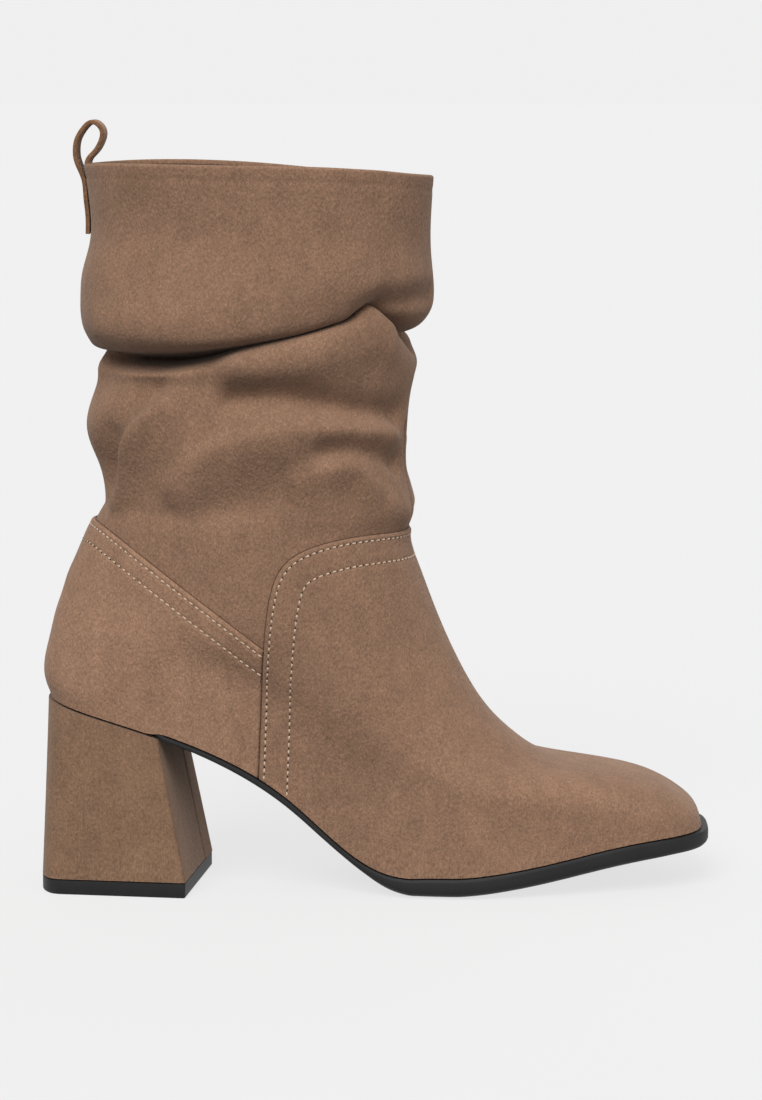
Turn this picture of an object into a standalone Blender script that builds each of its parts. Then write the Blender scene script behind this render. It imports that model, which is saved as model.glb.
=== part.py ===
"""A right-foot slouch boot on a covered block heel.

The boot is made as a shoemaker builds it: a last-shaped hollow upper with a vamp and a counter panel
laid over it, a unit sole with an arch and toe spring, a flared heel with its top piece, an insole and a
pull loop. Sizes are in millimetres; X runs from heel to toe, the outer (lateral) side is at -Y.
"""
import bpy
import bmesh
import numpy as np

MM = 0.001

# Driving sizes
LENGTH = 241.5          # outsole, heel to toe, along the floor
BALL_WIDTH = 84.0       # outsole across the ball
HEEL_HEIGHT = 69.0      # floor to the underside of the sole at its back
TOE_SPRING = 13.0       # floor to the underside of the sole at the toe
COLLAR_BACK = 260.5     # floor to the collar, at the back
COLLAR_FRONT = 256.5    # floor to the collar, at the front
SOLE_THICK = 7.4        # outsole under the ball
WALL = 1.8              # suede and lining
PANEL = 1.0             # suede of the vamp and counter panels
GAP = 0.3               # glue line between pieces
FEATHER_GAP = 0.45      # the upper's cut edge above the sole, between its facets less
SIDE_LIP = 1.2          # outsole beyond the panels, at the sides

# Ends of the foot's outline: how long each end's rounding is, and how square
HEEL_ROUND = 30.0
HEEL_SQUARE = 2.4
TOE_ROUND = 32.0
TOE_SQUARE = 3.3
LEG_OVAL = 2.15
LEG_FRONT = 0.58 * LENGTH

# Outsole, heel to toe. Along is a share of the length, arch of the heel height, spring of the toe
# spring, thick of the sole's thickness, outer and inner edges of the ball width from the axis.
SOLE = np.array((
    # along  arch  spring thick  outer  inner
    (0.000, 1.000, 0.00, 0.22, 0.351, 0.339),
    (0.090, 0.920, 0.00, 0.22, 0.351, 0.321),
    (0.180, 0.820, 0.00, 0.24, 0.361, 0.300),
    (0.280, 0.665, 0.00, 0.32, 0.357, 0.286),
    (0.370, 0.455, 0.00, 0.38, 0.351, 0.301),
    (0.460, 0.170, 0.00, 0.46, 0.363, 0.369),
    (0.515, 0.034, 0.00, 0.78, 0.387, 0.435),
    (0.550, 0.000, 0.00, 0.93, 0.406, 0.478),
    (0.620, 0.000, 0.00, 1.00, 0.426, 0.540),
    (0.690, 0.000, 0.20, 1.00, 0.414, 0.574),
    (0.760, 0.000, 0.40, 1.00, 0.379, 0.574),
    (0.890, 0.000, 0.84, 1.00, 0.292, 0.512),
    (1.000, 0.000, 1.00, 0.95, 0.202, 0.440),
))
TREAD_FROM, TREAD_TO = 0.55, 0.62    # the flat under the ball, as shares of the length
EDGE_FROM, EDGE_TO = 0.40, 0.52      # the bevelled edge of the tread begins, and is full, here
EDGE_LIFT = 1.8         # the tread's edge above the floor
EDGE_BEVEL = 6.0        # how far in from the edge the tread comes down
TREAD_STRIPS = (-1, -0.85, -0.4, 0.4, 0.85, 1)   # lines along the tread, as shares of its half width

# Upper, feather line to collar: each row is a section that slopes from the back to the front. Back and
# front are percent of the length, back_up and front_up percent of the way from the sole to the collar,
# half is the half width of the leg in percent of the ball width, and strips divide the wall up to the
# next section.
SECTIONS = (
    # section      back  back_up  front front_up half strips
    ("feather",     1.0,    0.0,  98.3,    0.0, 40.0, 1),
    ("rand",        0.1,    2.9,  97.8,    2.7, 40.0, 1),
    ("toe wall",    0.2,    6.6,  96.2,    5.0, 40.0, 1),
    ("toe cap",     1.0,   11.1,  93.2,    6.4, 40.0, 1),
    ("toe top",     1.8,   15.5,  89.2,    8.1, 40.0, 2),
    ("vamp front",  2.8,   19.5,  82.9,   10.8, 41.0, 2),
    ("vamp",        3.6,   22.9,  73.8,   14.3, 42.0, 2),
    ("vamp back",   4.5,   25.7,  67.8,   19.5, 42.5, 2),
    ("instep",      5.4,   28.5,  63.2,   26.0, 43.0, 2),
    ("waist",       6.3,   31.3,  59.0,   34.4, 43.5, 1),
    ("throat",      7.3,   34.1,  55.8,   42.5, 44.0, 1),
    ("ankle",       8.5,   37.0,  54.1,   48.2, 44.5, 1),
    ("pleat",       8.9,   39.1,  55.2,   51.9, 45.0, 2),
    ("calf low",    8.0,   45.0,  54.2,   57.4, 47.0, 2),
    ("calf belly",  6.2,   52.4,  54.1,   62.7, 50.0, 2),
    ("calf ridge",  8.0,   60.7,  54.7,   69.4, 51.0, 1),
    ("shoulder",    8.0,   63.6,  55.9,   74.8, 53.0, 2),
    ("crease",      9.6,   66.5,  53.6,   78.1, 49.0, 2),
    ("hem",         7.1,   68.3,  57.2,   79.8, 54.0, 2),
    ("cuff belly",  5.8,   76.0,  58.1,   83.6, 57.0, 2),
    ("cuff waist",  7.1,   87.4,  57.7,   90.2, 57.0, 2),
    ("collar",      6.2,  100.0,  58.1,  100.0, 57.5, 0),
)
ROW = {row[0]: index for index, row in enumerate(SECTIONS)}

# The cuff's crease climbs towards the outer front, and the collar waves a little: how far each rises
# above its straight slope. Around is in degrees from the back by the outer side.
RISE = np.array((
    # around crease collar
    (0,     0.0,  0.0),
    (60,   -0.7,  1.8),
    (90,    0.0,  2.4),
    (112,   2.5,  2.7),
    (134,   6.0,  2.0),
    (150,   7.5,  1.2),
    (166,   4.0,  0.4),
    (180,   0.0,  0.0),
    (205,   3.0, -0.2),
    (240,   0.5,  0.0),
    (270,   0.0,  1.6),
    (310,  -0.5,  1.7),
))
CREASE_REACH = 22.0

# Slouch folds of the leg: a soft ridge (out above 0) or trough between two places, each place given by
# its degrees around and its height above the floor.
LEG_RADIUS = 52.0
FOLDS = (
    # from (around, height)  to (around, height)  out  reach
    ((95, 194), (150, 203), 3.2, 8.0),      # shoulder standing proud under the cuff
    ((12, 204), (75, 203), 1.8, 8.0),       # cuff hanging over, outer back
    ((87, 184), (157, 182), -2.4, 6.5),     # trough under the shoulder
    ((67, 156), (112, 173), 2.4, 9.0),      # long ridge, outer side
    ((112, 173), (145, 176), 2.2, 9.0),
    ((114, 167), (140, 169), -1.8, 5.5),
    ((120, 158), (142, 157), 1.8, 6.5),
    ((42, 150), (60, 180), 2.0, 7.5),       # upright ridge, outer back
    ((33, 171), (42, 179), -1.8, 6.5),
    ((215, 190), (262, 178), -2.2, 7.0),    # inner side
    ((222, 170), (285, 184), 2.4, 9.0),
    ((240, 156), (292, 164), -1.8, 7.0),
    ((300, 158), (322, 182), 2.0, 8.0),
)

# Panel edges on the side of the boot: along and height in millimetres from the back and the floor.
VAMP_EDGE = np.array((
    # along height
    (78.2, 42.0), (80.3, 84.0), (82.6, 107.0), (86.6, 119.0), (95.5, 126.0), (112.0, 130.0), (131.0, 130.5),
))
VAMP_CORNER = 3         # row of VAMP_EDGE in the round corner
COUNTER_TOP = np.array((
    # along height
    (17.6, 133.5), (28.5, 128.8), (54.0, 110.5), (79.6, 91.0),
))
PANEL_PARTING = 0.4     # between the counter's front edge and the vamp's

# Heel, on its own axis, turned a little outwards
HEEL_TURN = np.radians(-5.5)
HEEL_BASE_BACK = -0.9
HEEL_BASE_LONG = 56.0
HEEL_BASE_HALF = (27.6, 29.5)   # at the back and at the breast
HEEL_BASE_ROUND = 10.0
HEEL_BREAST = 44.5              # along the sole, on the axis
LIFT_HIGH = 5.3

INSOLE_THICK = 2.2
INSOLE_INSET = 4.9
INSOLE_TOE = 7.2

# Pull loop: a strip laid on the back of the wall, turned over above the collar and sewn in at its rim.
# The eye's places are measured from the collar's outer edge at the back.
LOOP_WIDE = 13.0
LOOP_THICK = 1.6
LOOP_DROP = 24.0        # lower end of the strip below the collar
LOOP_LEAVES = 4.0       # below the collar, where the strip leaves the wall
LOOP_FLAT = 8.0         # above the collar, where the strip no longer follows the wall's curve
LOOP_EYE = np.array((
    # out   up
    (-2.8, 2.5), (-2.9, 6.0), (-2.3, 9.5), (-0.3, 13.1), (3.4, 15.9), (6.7, 13.1), (6.3, 9.0), (3.9, 5.2),
    (1.4, 2.4),
))

# How finely each form is divided
AROUND = 44
SOLE_STATIONS = 64
INSOLE_STATIONS = 34
HEEL_STATIONS = 12
LOOP_STATIONS = 30
LOOP_WALL_STATIONS = 4
VAMP_STATIONS = 25
COUNTER_STATIONS = 13
WALL_SAMPLES = 60


def curve(at_known, known, at):
    """Smooth curve (natural cubic) through known values; known may have several columns."""
    known = np.asarray(known, float)
    flat = known.reshape(len(known), -1)
    step = np.diff(at_known)
    slope = np.diff(flat, axis=0) / step[:, None]
    count = len(flat)
    matrix = np.eye(count)
    right = np.zeros_like(flat)
    for k in range(1, count - 1):
        matrix[k, k - 1:k + 2] = step[k - 1], 2 * (step[k - 1] + step[k]), step[k]
        right[k] = 6 * (slope[k] - slope[k - 1])
    bend = np.linalg.solve(matrix, right)
    at = np.asarray(at, float)
    k = np.clip(np.searchsorted(at_known, at, side="right") - 1, 0, count - 2)
    run = step[k][..., None]
    after = (at - np.asarray(at_known)[k])[..., None]
    before = run - after
    value = ((bend[k] * before ** 3 + bend[k + 1] * after ** 3) / (6 * run)
             + (flat[k] / run - bend[k] * run / 6) * before
             + (flat[k + 1] / run - bend[k + 1] * run / 6) * after)
    return value.reshape(at.shape + known.shape[1:])


def ease(share):
    share = np.clip(share, 0.0, 1.0)
    return share * share * (3 - 2 * share)


def end_round(distance, length, square):
    """Half width, as a share, at a distance from a rounded end."""
    left = 1 - np.clip(distance / length, 0.0, 1.0)
    return (1 - left ** square) ** (1 / square)


# The sole's own curves
def sole_under(x):
    along, arch, spring = SOLE[:, 0], SOLE[:, 1], SOLE[:, 2]
    at = np.clip(x / LENGTH, 0.0, 1.0)
    rear = curve(along, arch, at) * HEEL_HEIGHT * (at < TREAD_FROM)
    fore = curve(along, spring, at) * TOE_SPRING * (at > TREAD_TO)
    return np.maximum(rear, 0.0) + np.maximum(fore, 0.0)


def sole_top(x):
    at = np.clip(x / LENGTH, 0.0, 1.0)
    return sole_under(x) + curve(SOLE[:, 0], SOLE[:, 3], at) * SOLE_THICK


def sole_sides(x):
    """Centre and half width of the sole, before its ends are rounded."""
    at = np.clip(x / LENGTH, 0.0, 1.0)
    outer, inner = np.moveaxis(curve(SOLE[:, 0], SOLE[:, 4:6], at) * BALL_WIDTH, -1, 0)
    return (inner - outer) / 2, (inner + outer) / 2


def foot_round(x, back, front):
    return (end_round(x - back, HEEL_ROUND, HEEL_SQUARE)
            * end_round(front - x, TOE_ROUND, TOE_SQUARE))


# The upper's surface, by place around (0 at the back, a quarter at the outer side, a half at the front)
# and by section row
def section_sizes():
    rows = []
    for _, back, back_up, front, front_up, half, _ in SECTIONS:
        back_x = back / 100 * LENGTH
        front_x = front / 100 * LENGTH
        back_seat = sole_top(back_x) + FEATHER_GAP
        front_seat = sole_top(front_x) + FEATHER_GAP
        rows.append((back_x, back_seat + back_up / 100 * (COLLAR_BACK - back_seat),
                     front_x, front_seat + front_up / 100 * (COLLAR_FRONT - front_seat),
                     half / 100 * BALL_WIDTH))
    return np.array(rows)


SIZES = section_sizes()
TOP_ROW = len(SECTIONS) - 1


def rise(around, column):
    """Rise of the cuff's crease (1) or of the collar (2), joined up all the way round."""
    turns = np.concatenate([RISE[:, 0] + turn for turn in (-360, 0, 360)])
    return curve(turns, np.tile(RISE[:, column], 3), around)


def fold_out(around, height):
    """How far the slouch folds push the leg's wall outwards."""
    out = np.zeros(np.broadcast(around, height).shape)
    for (around_a, height_a), (around_b, height_b), push, reach in FOLDS:
        middle = (around_a + around_b) / 2
        turned = (around - middle + 180) % 360 - 180 + middle
        side = np.radians(turned - around_a) * LEG_RADIUS
        run = np.radians(around_b - around_a) * LEG_RADIUS
        rise = height_b - height_a
        share = (side * run + (height - height_a) * rise) / (run * run + rise * rise)
        share = np.clip(share, 0.0, 1.0)
        away = (side - share * run) ** 2 + (height - height_a - share * rise) ** 2
        out = out + push * np.exp(-away / reach ** 2)
    return out


def upper_point(turn, row):
    turn, row = np.broadcast_arrays(np.asarray(turn, float), np.asarray(row, float))
    back, back_z, front, front_z, half = np.moveaxis(curve(np.arange(TOP_ROW + 1.0), SIZES, row), -1, 0)
    share = (1 - np.cos(2 * np.pi * turn)) / 2
    x = back + (front - back) * share
    follow = ease((front - LEG_FRONT) / (SIZES[0, 2] - LEG_FRONT))
    centre, foot_half = sole_sides(x)
    foot_half = foot_half - (SIDE_LIP + PANEL + GAP)
    wide = follow * foot_half + (1 - follow) * half
    middle_long = (front - back) / 2
    wide = wide * end_round(x - back, middle_long + follow * (HEEL_ROUND - middle_long),
                            LEG_OVAL + follow * (HEEL_SQUARE - LEG_OVAL))
    wide = wide * end_round(front - x, middle_long + follow ** 2 * (TOE_ROUND - middle_long),
                            LEG_OVAL + follow ** 4 * (TOE_SQUARE - LEG_OVAL))
    side = -np.sign(np.sin(2 * np.pi * turn))
    y = follow * centre + side * wide
    straight = sole_top(back) + (sole_top(front) - sole_top(back)) * share
    z = back_z + (front_z - back_z) * share + follow * (sole_top(x) - straight)
    around = 360 * turn
    z = z + rise(around % 360, 2) * ease((row - ROW["hem"]) / (TOP_ROW - ROW["hem"]))
    crease_z = SIZES[ROW["crease"], 1] + (SIZES[ROW["crease"], 3] - SIZES[ROW["crease"], 1]) * share
    z = z + rise(around % 360, 1) * np.exp(-((z - crease_z) / CREASE_REACH) ** 2)
    out = fold_out(around, z) * ease((row - ROW["throat"]) / 2) * ease((TOP_ROW - row) / 2)
    axis_x = (back + front) / 2
    away = np.hypot(x - axis_x, y) + 1e-9
    return np.stack((x + out * (x - axis_x) / away, y + out * y / away, z), -1)


def upper_normal(turn, row):
    tiny_turn, tiny_row = 0.002, 0.02
    across = upper_point(turn + tiny_turn, row) - upper_point(turn - tiny_turn, row)
    above = np.clip(row + tiny_row, 0, TOP_ROW)
    below = np.clip(row - tiny_row, 0, TOP_ROW)
    up = upper_point(turn, above) - upper_point(turn, below)
    normal = np.cross(across, up)
    return normal / np.linalg.norm(normal, axis=-1, keepdims=True)


def skin(turn, row, out):
    """The upper's surface moved out (or in, below 0); its lower edge stays on the sole."""
    turn, row = np.broadcast_arrays(np.asarray(turn, float), np.asarray(row, float))
    points = upper_point(turn, row) + out * upper_normal(turn, row)
    on_sole = row <= 0
    points[..., 2] = np.where(on_sole, sole_top(points[..., 0]) + FEATHER_GAP, points[..., 2])
    return points


def skin_grid(top_row):
    """Places around and section rows of a grid over the upper, up to a row."""
    turn = np.arange(AROUND)[None] / AROUND
    rows = [k + part / SECTIONS[k][-1] for k in range(top_row) for part in range(SECTIONS[k][-1])]
    return turn, np.array(rows + [top_row])[:, None]


# Meshes
def finish(name, colour, roughness):
    material = bpy.data.materials.new(name)
    material.use_nodes = True
    shader = material.node_tree.nodes["Principled BSDF"]
    shader.inputs["Base Color"].default_value = (*colour, 1.0)
    shader.inputs["Roughness"].default_value = roughness
    shader.inputs["Metallic"].default_value = 0.0
    return material


def add_piece(name, points, faces, material, parent):
    mesh = bpy.data.meshes.new(name)
    form = bmesh.new()
    corners = [form.verts.new(point) for point in np.asarray(points) * MM]
    for face in faces:
        kept = list(dict.fromkeys(face))
        if len(kept) > 2:
            form.faces.new([corners[k] for k in kept])
    bmesh.ops.remove_doubles(form, verts=form.verts, dist=2e-6)
    bmesh.ops.recalc_face_normals(form, faces=form.faces)
    if form.calc_volume(signed=True) < 0:
        bmesh.ops.reverse_faces(form, faces=form.faces)
    form.to_mesh(mesh)
    form.free()
    mesh.shade_smooth()
    mesh.set_sharp_from_angle(angle=np.radians(40))
    mesh.materials.append(material)
    piece = bpy.data.objects.new(name, mesh)
    piece.parent = parent
    bpy.context.scene.collection.objects.link(piece)
    return piece


def grid_faces(rows, columns, wrap, first=0):
    """Triangles of a grid of points; wrap joins its last column to its first."""
    faces = []
    for r in range(rows - 1):
        for c in range(columns if wrap else columns - 1):
            low, low_next = first + r * columns + c, first + r * columns + (c + 1) % columns
            faces.append((low, low_next, low_next + columns))
            faces.append((low, low_next + columns, low + columns))
    return faces


def shell(outer, inner, wrap):
    """A wall between two grids of points, closed along its rims."""
    rows, columns = outer.shape[:2]
    half = rows * columns
    faces = grid_faces(rows, columns, wrap)
    faces += [face[::-1] for face in grid_faces(rows, columns, wrap, half)]
    for r in (0, rows - 1):
        for c in range(columns if wrap else columns - 1):
            a, b = r * columns + c, r * columns + (c + 1) % columns
            faces.append((a, b, half + b, half + a))
    if not wrap:
        for c in (0, columns - 1):
            for r in range(rows - 1):
                a, b = r * columns + c, (r + 1) * columns + c
                faces.append((a, b, half + b, half + a))
    return np.concatenate((outer.reshape(-1, 3), inner.reshape(-1, 3))), faces


def overlay(name, outline, material, parent):
    """A panel on the upper: a skin over the whole foot, cut to an outline given in side view."""
    turn, row = skin_grid(ROW["calf low"])
    outer = skin(turn, row, GAP + PANEL)
    piece = add_piece(name, *shell(outer, skin(turn, row, GAP), True), material, parent)
    sides = [[(x, y, z) for x, z in outline] for y in (-BALL_WIDTH, BALL_WIDTH)]
    count = len(outline)
    faces = [tuple(range(count)), tuple(range(count, 2 * count))]
    faces += [(k, (k + 1) % count, count + (k + 1) % count, count + k) for k in range(count)]
    cutter = add_piece(name + "_outline", np.concatenate(sides), faces, material, parent)
    cutter.hide_render = True
    cutter.display_type = "WIRE"
    cut = piece.modifiers.new("cut to outline", "BOOLEAN")
    cut.operation = "INTERSECT"
    cut.object = cutter
    return piece


def plate(back, front, inset, under, over, stations, across):
    """A sole-shaped plate. Under and over give its faces' heights; across is its strips below."""
    share = (1 - np.cos(np.linspace(0, np.pi, stations))) / 2
    x = back + (front - back) * share
    centre, half = sole_sides(x)
    half = (half - inset) * foot_round(x, back, front)
    points, faces = [], []
    for k in range(stations):
        for s in across:
            edge = min(half[k] * (1 - abs(s)), x[k] - back, front - x[k])
            points.append((x[k], centre[k] + s * half[k], under(x[k], edge)))
        for s in (1, -1):
            points.append((x[k], centre[k] + s * half[k], over(x[k])))
    loop = len(across) + 2
    for k in range(stations - 1):
        for c in range(loop):
            d = (c + 1) % loop
            faces.append((k * loop + c, k * loop + d, (k + 1) * loop + d, (k + 1) * loop + c))
    return points, faces


def block(bottom, top, count):
    """A solid between two loops of points. Each loop runs up one side and down the other."""
    size = len(bottom)
    faces = [(k, (k + 1) % size, size + (k + 1) % size, size + k) for k in range(size)]
    for first in (0, size):
        for k in range(count):
            faces.append((first + k, first + k + 1, first + (size - k - 1) % size, first + (size - k) % size))
    return np.concatenate((bottom, top)), faces


def heel_loop(place):
    """Loop of a heel section from its back: along the outer side, over the breast, along the inner."""
    shares = 1 - np.cos(np.linspace(0, np.pi / 2, HEEL_STATIONS + 1))
    outer = [place(share, -1) for share in shares]
    inner = [place(share, 1) for share in shares[:0:-1]]
    return np.array(outer + inner)


def heel_base(share, side, height):
    along = share * HEEL_BASE_LONG
    half = HEEL_BASE_HALF[0] + (HEEL_BASE_HALF[1] - HEEL_BASE_HALF[0]) * share
    across = side * half * end_round(along, HEEL_BASE_ROUND, HEEL_SQUARE)
    return (HEEL_BASE_BACK + along * np.cos(HEEL_TURN) - across * np.sin(HEEL_TURN),
            along * np.sin(HEEL_TURN) + across * np.cos(HEEL_TURN), height)


def heel_seat(share, side):
    centre, half = sole_sides(share * HEEL_BREAST)
    across = side * (half - GAP) * end_round(share * HEEL_BREAST, HEEL_ROUND, HEEL_SQUARE)
    x = GAP + share * (HEEL_BREAST - across * np.sin(HEEL_TURN))
    return x, centre + across, sole_under(x) - GAP


def loop_path():
    """Middle of the pull loop's strip in side view, from its lower end to its end on the rim."""
    collar = upper_point(0.0, TOP_ROW)
    wall = upper_point(0.0, np.linspace(ROW["hem"], TOP_ROW, WALL_SAMPLES))
    stand = GAP + LOOP_THICK / 2
    path = []
    for drop in np.linspace(LOOP_DROP, LOOP_LEAVES, LOOP_WALL_STATIONS):
        height = collar[2] - drop
        path.append((np.interp(height, wall[:, 2], wall[:, 0]) - stand, height))
    for out, up in LOOP_EYE:
        path.append((collar[0] + out, collar[2] + up))
    path.append((collar[0] + WALL / 2, collar[2] + 2 * GAP))
    path = np.array(path)
    length = np.concatenate(([0.0], np.cumsum(np.linalg.norm(np.diff(path, axis=0), axis=1))))
    return curve(length, path, np.linspace(0, length[-1], LOOP_STATIONS)), collar


def pull_loop():
    path, collar = loop_path()
    ahead = np.gradient(path, axis=0)
    ahead = ahead / np.linalg.norm(ahead, axis=1)[:, None]
    side = np.stack((-ahead[:, 1], ahead[:, 0]), -1)
    across = np.array((-1.0, 0.0, 1.0)) * LOOP_WIDE / 2
    beside = upper_point(0.02, TOP_ROW)
    hollow = (beside[0] - collar[0]) / beside[1] ** 2
    on_wall = ease((collar[2] + LOOP_FLAT - path[:, 1]) / LOOP_FLAT)
    faces_of_strip = []
    for half in (LOOP_THICK / 2, -LOOP_THICK / 2):
        edge = path + side * half
        grid = np.empty((len(path), len(across), 3))
        grid[..., 0] = edge[:, None, 0] + on_wall[:, None] * hollow * across[None] ** 2
        grid[..., 1] = across[None]
        grid[..., 2] = edge[:, None, 1]
        faces_of_strip.append(grid)
    return shell(faces_of_strip[0], faces_of_strip[1], False)


def vamp_outline():
    """Side view of the vamp panel: its edge, then well clear of the toe and the sole."""
    index = np.arange(len(VAMP_EDGE), dtype=float)
    edge = curve(index, VAMP_EDGE, np.linspace(0, index[-1], VAMP_STATIONS))
    beyond = LENGTH + HEEL_ROUND
    return [(edge[0, 0], -HEEL_ROUND), *edge, (beyond, edge[-1, 1]), (beyond, -HEEL_ROUND)]


def counter_outline():
    """Side view of the counter panel: up the vamp's edge, back along its top, round the heel."""
    index = np.arange(len(VAMP_EDGE), dtype=float)
    edge = curve(index, VAMP_EDGE, np.linspace(0, VAMP_CORNER, VAMP_STATIONS)) - (PANEL_PARTING, 0)
    edge = edge[edge[:, 1] < COUNTER_TOP[-1, 1]]
    index = np.arange(len(COUNTER_TOP), dtype=float)
    top = curve(index, COUNTER_TOP, np.linspace(index[-1], 0, COUNTER_STATIONS))
    return [(edge[0, 0], -HEEL_ROUND), *edge, *top, (-HEEL_ROUND, top[-1, 1]), (-HEEL_ROUND, -HEEL_ROUND)]


def tread(x, edge):
    forefoot = ease((x / LENGTH - EDGE_FROM) / (EDGE_TO - EDGE_FROM))
    return sole_under(x) + EDGE_LIFT * forefoot * (1 - min(1.0, edge / EDGE_BEVEL))


def build():
    for old in list(bpy.data.objects):
        bpy.data.objects.remove(old)
    boot = bpy.data.objects.new("boot", None)
    bpy.context.scene.collection.objects.link(boot)
    suede = finish("suede", (0.235, 0.137, 0.089), 0.95)
    rubber = finish("rubber", (0.022, 0.022, 0.023), 0.55)
    lining = finish("lining", (0.09, 0.058, 0.042), 0.9)
    strip = finish("loop strip", (0.2, 0.115, 0.066), 0.9)

    turn, row = skin_grid(TOP_ROW)
    pieces = [
        add_piece("upper", *shell(skin(turn, row, 0.0), skin(turn, row, -WALL), True), suede, boot),
        overlay("vamp", vamp_outline(), suede, boot),
        overlay("counter", counter_outline(), suede, boot),
        add_piece("outsole", *plate(0.0, LENGTH, 0.0, tread, sole_top, SOLE_STATIONS, TREAD_STRIPS),
                  rubber, boot),
        add_piece("insole", *plate(INSOLE_INSET, LENGTH - INSOLE_TOE, INSOLE_INSET,
                                   lambda x, edge: sole_top(x) + GAP,
                                   lambda x: sole_top(x) + GAP + INSOLE_THICK,
                                   INSOLE_STATIONS, (-1, 1)), lining, boot),
    ]
    base = heel_loop(lambda share, side: heel_base(share, side, LIFT_HIGH + GAP))
    seat = heel_loop(heel_seat)
    floor = heel_loop(lambda share, side: heel_base(share, side, 0.0))
    lift = heel_loop(lambda share, side: heel_base(share, side, LIFT_HIGH))
    pieces += [
        add_piece("heel_block", *block(base, seat, HEEL_STATIONS), suede, boot),
        add_piece("heel_lift", *block(floor, lift, HEEL_STATIONS), rubber, boot),
        add_piece("pull_loop", *pull_loop(), strip, boot),
    ]
    # The boot's reference point is the middle of its footprint box, on the floor
    corners = np.concatenate([[corner.co[:] for corner in piece.data.vertices] for piece in pieces])
    middle = (corners.min(0) + corners.max(0)) / 2
    boot.location = (-middle[0], -middle[1], 0.0)
    bpy.context.view_layer.update()


build()
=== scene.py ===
"""Looks of a right-foot slouch boot on a covered block heel, dressed in the order it is made.

Sizes are in millimetres in the boot's own frame: X runs from heel to toe, the outer side is at -Y and Z
is up from the floor. Shares are of the size that the comment beside them names.
"""

import bmesh
import bpy
import numpy as np
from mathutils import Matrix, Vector


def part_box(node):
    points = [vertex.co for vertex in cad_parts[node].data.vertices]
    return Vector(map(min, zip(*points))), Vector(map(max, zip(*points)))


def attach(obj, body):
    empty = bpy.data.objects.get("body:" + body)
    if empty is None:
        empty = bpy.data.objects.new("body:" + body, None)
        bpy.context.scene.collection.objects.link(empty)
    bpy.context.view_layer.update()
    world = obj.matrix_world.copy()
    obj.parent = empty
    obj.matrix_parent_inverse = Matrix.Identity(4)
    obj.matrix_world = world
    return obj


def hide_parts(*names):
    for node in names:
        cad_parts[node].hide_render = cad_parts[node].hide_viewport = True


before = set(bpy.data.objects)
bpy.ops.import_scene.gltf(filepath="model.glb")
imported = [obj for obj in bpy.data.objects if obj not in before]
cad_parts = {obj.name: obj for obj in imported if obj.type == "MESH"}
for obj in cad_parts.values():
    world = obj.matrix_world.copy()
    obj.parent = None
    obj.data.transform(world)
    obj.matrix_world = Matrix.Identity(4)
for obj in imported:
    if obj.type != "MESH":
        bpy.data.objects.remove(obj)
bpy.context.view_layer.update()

# Upper: one wall of brushed faux suede drawn over the last, from the feather line to the turned collar.
# Its leg is cut long and slouches into a hanging cuff over a proud shoulder, with soft folds below it.
# A brown textile lining is bonded inside, and the collar's edge is turned in over it.
MM = 0.001
LOOP_LOW, LOOP_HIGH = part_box("pull_loop")
ORIGIN = np.array((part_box("outsole")[0].x, (LOOP_LOW.y + LOOP_HIGH.y) / 2, 0.0))

LENGTH = 241.5
BALL_WIDTH = 84.0
HEEL_HEIGHT = 69.0
TOE_SPRING = 13.0
COLLAR_BACK = 260.5
COLLAR_FRONT = 256.5
SOLE_THICK = 7.4
WALL = 1.8
PANEL = 1.0
GAP = 0.3
FEATHER_GAP = 0.45
SIDE_LIP = 1.2
HEEL_ROUND, HEEL_SQUARE = 30.0, 2.4
TOE_ROUND, TOE_SQUARE = 32.0, 3.3
LEG_OVAL = 2.15
LEG_FRONT = 0.58 * LENGTH
HEEL_BREAST = 44.5
SEAT_RUN = 7.0                  # the suede hides the sole's edge over the heel, and leaves it in this run
SEAT_INSET = 4.6                # how far the sole lies in over the heel
SEAT_CLEAR = 0.5                # how far above the sole's underside the suede ends there
TREAD_FROM, TREAD_TO = 0.55, 0.62

# Shares of LENGTH, HEEL_HEIGHT, TOE_SPRING and SOLE_THICK, then of BALL_WIDTH to either side.
SOLE = np.array((
    # along  arch  spring thick  outer  inner
    (0.000, 1.000, 0.00, 0.22, 0.351, 0.339),
    (0.090, 0.920, 0.00, 0.22, 0.351, 0.321),
    (0.180, 0.820, 0.00, 0.24, 0.361, 0.300),
    (0.280, 0.665, 0.00, 0.32, 0.357, 0.286),
    (0.370, 0.455, 0.00, 0.38, 0.351, 0.301),
    (0.460, 0.170, 0.00, 0.46, 0.363, 0.369),
    (0.515, 0.034, 0.00, 0.78, 0.387, 0.435),
    (0.550, 0.000, 0.00, 0.93, 0.406, 0.478),
    (0.620, 0.000, 0.00, 1.00, 0.426, 0.540),
    (0.690, 0.000, 0.14, 1.00, 0.414, 0.574),
    (0.760, 0.000, 0.37, 1.00, 0.379, 0.574),
    (0.890, 0.000, 0.84, 1.00, 0.292, 0.512),
    (1.000, 0.000, 1.00, 0.95, 0.202, 0.440),
))
ALONG, ARCH, SPRING, THICK = SOLE.T[:4]
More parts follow.
